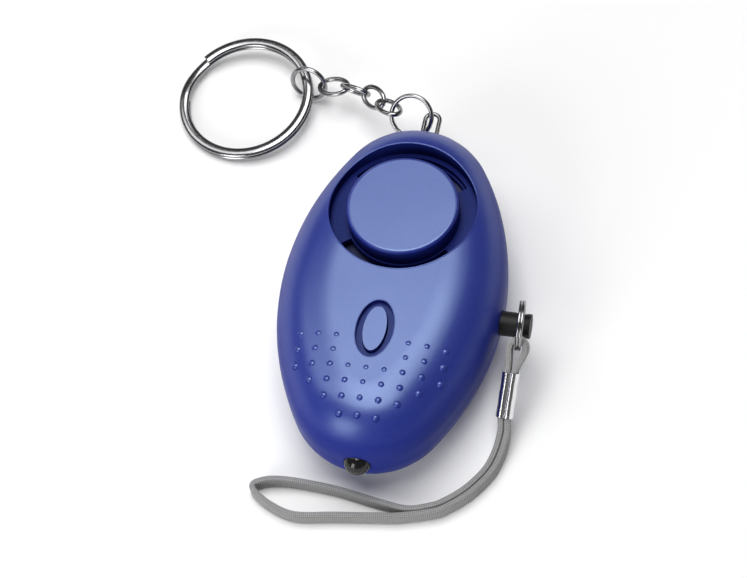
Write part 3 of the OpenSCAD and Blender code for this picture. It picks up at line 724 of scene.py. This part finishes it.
class ALARM_OT_case(bpy.types.Operator):
    """Finishes the two painted shells"""

    bl_idname = "alarm.case"
    bl_label = "Case"

    def execute(self, context):
        front = fair_copy("front_shell", "front_shell_painted", skin=True)
        give(front, "front_shell", "case", finish("paint"))
        rear = fair_copy("rear_shell", "rear_shell_painted", skin=True)
        give(rear, "rear_shell", "case", finish("paint"))
        around = [2 * math.pi * k / 180 for k in range(180)]
        rim = [(SOUNDER_R * math.cos(a), SOUNDER_Y + SOUNDER_R * math.sin(a)) for a in around]
        give(self.lip("sounder_rim_lip", rim, 0.17), None, "case", finish("paint"))
        oval = [(GROOVE_HALF_W * math.cos(a), BUTTON_Y + GROOVE_HALF_L * math.sin(a)) for a in around]
        give(self.lip("button_groove_lip", oval, 0.12), None, "case", finish("paint"))
        return {"FINISHED"}

    def lip(self, name, line, radius):
        """A fine rounded lip along a line on the front skin."""
        spots = [Vector((x, y, skin_height(x, y) - radius * 0.55)) * MM for x, y in line]
        return wire_along(name, spots, radius, radius, True)


class ALARM_OT_sounder(bpy.types.Operator):
    """Finishes the round sounder cap"""

    bl_idname = "alarm.sounder"
    bl_label = "Sounder cap"

    def execute(self, context):
        cap = fair_copy("sounder_cap", "sounder_cap_painted")
        give(cap, "sounder_cap", "case", finish("paint"))
        return {"FINISHED"}


class ALARM_OT_button(bpy.types.Operator):
    """Rounds the oval lamp button"""

    bl_idname = "alarm.button"
    bl_label = "Lamp button"

    def execute(self, context):
        key = fair_copy("light_button", "light_button_rounded", 40)
        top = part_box("light_button")[1].z / MM
        round_edges(key, lambda a, b: min(a.z, b.z) > top - 0.01 and (a.xy - b.xy).length < 0.9,
                    0.45 * MM, 4)
        take(key)
        bpy.ops.object.shade_smooth_by_angle(angle=math.radians(40))
        give(key, "light_button", "button", finish("paint"))
        return {"FINISHED"}


class ALARM_OT_lamp(bpy.types.Operator):
    """Clears the lamp and sets its cup inside it"""

    bl_idname = "alarm.lamp"
    bl_label = "Lamp"

    def execute(self, context):
        low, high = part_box("lamp_lens")
        lens = fair_copy("lamp_lens", "lamp_lens_clear")
        give(lens, "lamp_lens", "case", finish("lamp"))
        middle = (low + high) / 2
        clear_choice()
        bpy.ops.mesh.primitive_cone_add(vertices=32, radius1=1.7 * MM, radius2=0.8 * MM, depth=2 * MM,
                                        location=(middle.x, low.y + 4.2 * MM, middle.z),
                                        rotation=(-math.pi / 2, 0, 0))
        cup = context.object
        cup.name = "lamp_cup"
        settle(cup)
        bpy.ops.object.mode_set(mode="EDIT")
        bpy.ops.mesh.select_all(action="SELECT")
        bpy.ops.mesh.bevel(offset=0.12 * MM, segments=2)
        bpy.ops.object.mode_set(mode="OBJECT")
        bpy.ops.object.shade_smooth_by_angle(angle=math.radians(40))
        give(cup, None, "case", finish("reflector"))
        return {"FINISHED"}


class ALARM_OT_pin(bpy.types.Operator):
    """Rounds the black pull pin"""

    bl_idname = "alarm.pin"
    bl_label = "Pull pin"

    def execute(self, context):
        pin = fair_copy("pull_pin", "pull_pin_moulded", 34)
        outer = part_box("pull_pin")[1].x / MM
        round_edges(pin, lambda a, b: min(a.x, b.x) > outer - 0.01 and (a - b).length < 1, 0.3 * MM)
        take(pin)
        bpy.ops.object.shade_smooth_by_angle(angle=math.radians(34))
        give(pin, "pull_pin", "pin", finish("plug"))
        return {"FINISHED"}


# Chain pieces, repeated from the solids: heading, rise and roll of each in degrees, the gaps between them and
# their inner lengths in millimetres
CHAIN = ["staple_ring", "chain_link_1", "chain_link_2", "chain_link_3", "chain_link_4", "end_ring"]
CHAIN_DIRS = [(173, 0, -45), (136, -20, 20), (145, -19, -45), (158, -18, 70), (172, -16, 0),
              (172, -4, -72)]
CHAIN_GAPS = [0, 0.32, 0.12, 0.12, 0.12, 0.12]
CHAIN_LENGTHS = [7.15, 5.35, 5.35, 5.35, 5.35, 6.05]
CHAIN_X, CHAIN_INSET = -0.2, 1.95
LINK_W = 2.7
# Room for the staple ring to swing in the staple
STAPLE_RING_SLIM = 0.03
KEY_DIR = (199, -6.6, -3)
KEY_MEAN_R = 12.75
KEY_HOOK, KEY_DROP = 0.3, 0.15


def split_coil(mean_r, half_pitch, jog):
    """Two turns of wire, one over the other, with a jog between them."""
    spots = []
    for k in range(22, 699, 3):
        t = min(1.0, max(0.0, (k - 340) / 40))
        z = half_pitch * (2 * t * t * (3 - 2 * t) - 1)
        a = math.radians(k + jog)
        spots.append(Vector((mean_r * math.cos(a), mean_r * math.sin(a), z)) * MM)
    return spots


def heading(d):
    a, e = math.radians(d[0]), math.radians(d[1])
    return Vector((math.cos(e) * math.cos(a), math.cos(e) * math.sin(a), math.sin(e)))


def turn(d):
    return (Matrix.Rotation(math.radians(d[0]), 4, "Z") @ Matrix.Rotation(math.radians(-d[1]), 4, "Y")
            @ Matrix.Rotation(math.radians(d[2]), 4, "X"))


def wire_loop(name, middle, way, mean_r, stretch, wire_r):
    """A closed loop of round wire, drawn out along its length where it is a link."""
    clear_choice()
    bpy.ops.mesh.primitive_torus_add(major_segments=80, minor_segments=20, major_radius=mean_r * MM,
                                     minor_radius=wire_r * MM)
    loop = bpy.context.object
    loop.name = name
    if stretch:
        half_l, half_w = mean_r + stretch / 2, mean_r * 1.05
        for spot in loop.data.vertices:
            t = math.atan2(spot.co.y, spot.co.x)
            off = spot.co.xy.length / MM - mean_r
            out = Vector((math.cos(t) / half_l, math.sin(t) / half_w)).normalized() * off
            spot.co.xy = (Vector((half_l * math.cos(t), half_w * math.sin(t))) + out) * MM
    loop.matrix_world = Matrix.Translation(middle * MM) @ turn(way)
    settle(loop)
    bpy.ops.object.shade_smooth()
    return loop


class ALARM_OT_chain(bpy.types.Operator):
    """Bends the staple, the chain's rings and links and the split key ring"""

    bl_idname = "alarm.chain"
    bl_label = "Key chain"

    def execute(self, context):
        wire = sizes().wire / MM
        staple = fair_copy("keyring_staple", "keyring_staple_bent")
        give(staple, "keyring_staple", "case", finish("wire"))
        lengths = [inner + wire for inner in CHAIN_LENGTHS]
        low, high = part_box("keyring_staple")
        near = Vector((CHAIN_X, high.y / MM - CHAIN_INSET, (low.z + high.z) / 2 / MM))
        for k, node in enumerate(CHAIN):
            way = CHAIN_DIRS[k]
            if k:
                before = CHAIN_DIRS[k - 1]
                near = (near + lengths[k - 1] * heading(before)
                        - (wire + CHAIN_GAPS[k]) * (heading(before) + heading(way)).normalized())
            middle = near + lengths[k] / 2 * heading(way)
            link = node.startswith("chain_link")
            mean_r = (LINK_W + wire) / 2 if link else lengths[k] / 2
            stretch = lengths[k] - 2 * mean_r
            slim = STAPLE_RING_SLIM if node == "staple_ring" else 0
            piece = wire_loop(node + "_wire", middle, way, mean_r, stretch, wire / 2 - slim)
            give(piece, node, node + "_body", finish("wire"))
            end = middle
        hook = end + KEY_HOOK * heading(CHAIN_DIRS[-1]) - Vector((0, 0, KEY_DROP))
        centre = hook + KEY_MEAN_R * heading(KEY_DIR)
        key = wire_along("key_ring_split", split_coil(KEY_MEAN_R, 0.5, -35), 1.0, 0.49)
        key.matrix_world = Matrix.Translation(centre * MM) @ turn(KEY_DIR)
        settle(key)
        give(key, "key_ring", "key_ring_body", finish("wire"))
        ring = fair_copy("pin_ring", "pin_ring_split")
        give(ring, "pin_ring", "strap_ring", finish("wire"))
        return {"FINISHED"}


class ALARM_OT_inside(bpy.types.Operator):
    """Gives the pieces inside the case their finishes"""

    bl_idname = "alarm.inside"
    bl_label = "Inside"

    def execute(self, context):
        inside = {
            # The sounder plate takes the painted shade finish: dark navy in place of its brass.
            "sounder_plate": "shaded_plate", "sounder_ceramic": "ceramic", "sounder_leads": "red",
            "circuit_board": "board", "boost_coil": "coil", "control_chip": "black",
            "driver_transistor": "black", "switch_body": "grey", "switch_plunger": "black",
            "contact_fixed": "brass", "switch_leaf": "brass", "button_cells": "cell",
            "cell_contact": "brass", "cell_spring": "brass", "lamp_leads": "steel", "case_screws": "steel",
        }
        for node, name in inside.items():
            for place in frame["nodes"][node].material_slots:
                place.material = finish(name)
        return {"FINISHED"}


class ALARM_OT_stage(bpy.types.Operator):
    """Lays the pale floor and hangs the soft lights"""

    bl_idname = "alarm.stage"
    bl_label = "Stage"

    def execute(self, context):
        clear_choice()
        bpy.ops.mesh.primitive_plane_add(size=3.0, location=(0, 0, -0.0001))
        floor = context.object
        floor.name = "floor"
        f = Finish("pale_floor")
        f.set(Base_Color=(0.94, 0.94, 0.94, 1), Roughness=0.9, Emission_Color=(1, 1, 1, 1))
        f.join(self.seen(f.tree, FLOOR_GLOW), f.shader.inputs["Emission Strength"])
        floor.data.materials.append(f.made)
        for light in LIGHTS:
            self.lamp(*light)
        world = bpy.data.worlds.new("studio")
        context.scene.world = world
        world.use_nodes = True
        self.surround(world.node_tree)
        context.scene.view_settings.view_transform = "Standard"
        return {"FINISHED"}

    def seen(self, tree, level):
        """The level for rays that are looked along, straight or by way of metal or glass, or nothing."""
        ray = tree.nodes.new("ShaderNodeLightPath")
        total = ray.outputs["Is Camera Ray"]
        for name in ("Is Glossy Ray", "Is Transmission Ray"):
            more = tree.nodes.new("ShaderNodeMath")
            more.operation = "MAXIMUM"
            tree.links.new(total, more.inputs[0])
            tree.links.new(ray.outputs[name], more.inputs[1])
            total = more.outputs[0]
        share = tree.nodes.new("ShaderNodeMath")
        share.operation = "MULTIPLY"
        share.inputs[1].default_value = level
        tree.links.new(total, share.inputs[0])
        return share.outputs[0]

    def surround(self, tree):
        """A dim room whose walls are white where they meet the floor."""
        paint = tree.nodes["Background"]
        paint.inputs["Color"].default_value = (1, 1, 1, 1)
        where = tree.nodes.new("ShaderNodeTexCoord")
        parts = tree.nodes.new("ShaderNodeSeparateXYZ")
        tree.links.new(where.outputs["Generated"], parts.inputs["Vector"])
        wall = tree.nodes.new("ShaderNodeMapRange")
        wall.interpolation_type = "SMOOTHSTEP"
        for name, value in (("From Min", 0.02), ("From Max", 0.12), ("To Min", 1.0), ("To Max", 0.0)):
            wall.inputs[name].default_value = value
        tree.links.new(parts.outputs["Z"], wall.inputs["Value"])
        level = tree.nodes.new("ShaderNodeMath")
        level.operation = "MULTIPLY_ADD"
        level.inputs[2].default_value = ROOM_LEVEL
        tree.links.new(wall.outputs["Result"], level.inputs[0])
        tree.links.new(self.seen(tree, 1 - ROOM_LEVEL), level.inputs[1])
        tree.links.new(level.outputs[0], paint.inputs["Strength"])

    def lamp(self, name, way, reach, wide, long, power):
        way = Vector(way).normalized()
        clear_choice()
        bpy.ops.object.light_add(type="AREA", location=way * reach)
        lamp = bpy.context.object
        lamp.name = name
        lamp.data.shape = "RECTANGLE"
        lamp.data.size = wide
        lamp.data.size_y = long
        lamp.data.energy = power
        lamp.visible_camera = False
        lamp.rotation_euler = way.to_track_quat("Z", "Y").to_euler()


ORDER = [ALARM_OT_camera, ALARM_OT_strap, ALARM_OT_case, ALARM_OT_sounder, ALARM_OT_button, ALARM_OT_lamp,
         ALARM_OT_pin, ALARM_OT_chain, ALARM_OT_inside, ALARM_OT_stage]


class ALARM_PT_panel(bpy.types.Panel):
    """Lists the alarm's pieces"""

    bl_idname = "ALARM_PT_panel"
    bl_label = "Pocket alarm"
    bl_space_type = "VIEW_3D"
    bl_region_type = "UI"
    bl_category = "Alarm"

    def draw(self, context):
        for piece in ORDER:
            self.layout.operator(piece.bl_idname)


CLASSES = [AlarmSizes, AlarmColours, *ORDER, ALARM_PT_panel]


def register():
    for one in CLASSES:
        bpy.utils.register_class(one)
    bpy.types.Scene.alarm_sizes = bpy.props.PointerProperty(type=AlarmSizes)
    bpy.types.Scene.alarm_colours = bpy.props.PointerProperty(type=AlarmColours)


def unregister():
    del bpy.types.Scene.alarm_colours
    del bpy.types.Scene.alarm_sizes
    for one in reversed(CLASSES):
        bpy.utils.unregister_class(one)


def main():
    register()
    bpy.ops.alarm.camera()
    bpy.ops.alarm.strap()
    bpy.ops.alarm.case()
    bpy.ops.alarm.sounder()
    bpy.ops.alarm.button()
    bpy.ops.alarm.lamp()
    bpy.ops.alarm.pin()
    bpy.ops.alarm.chain()
    bpy.ops.alarm.inside()
    bpy.ops.alarm.stage()


if __name__ == "__main__":
    main()
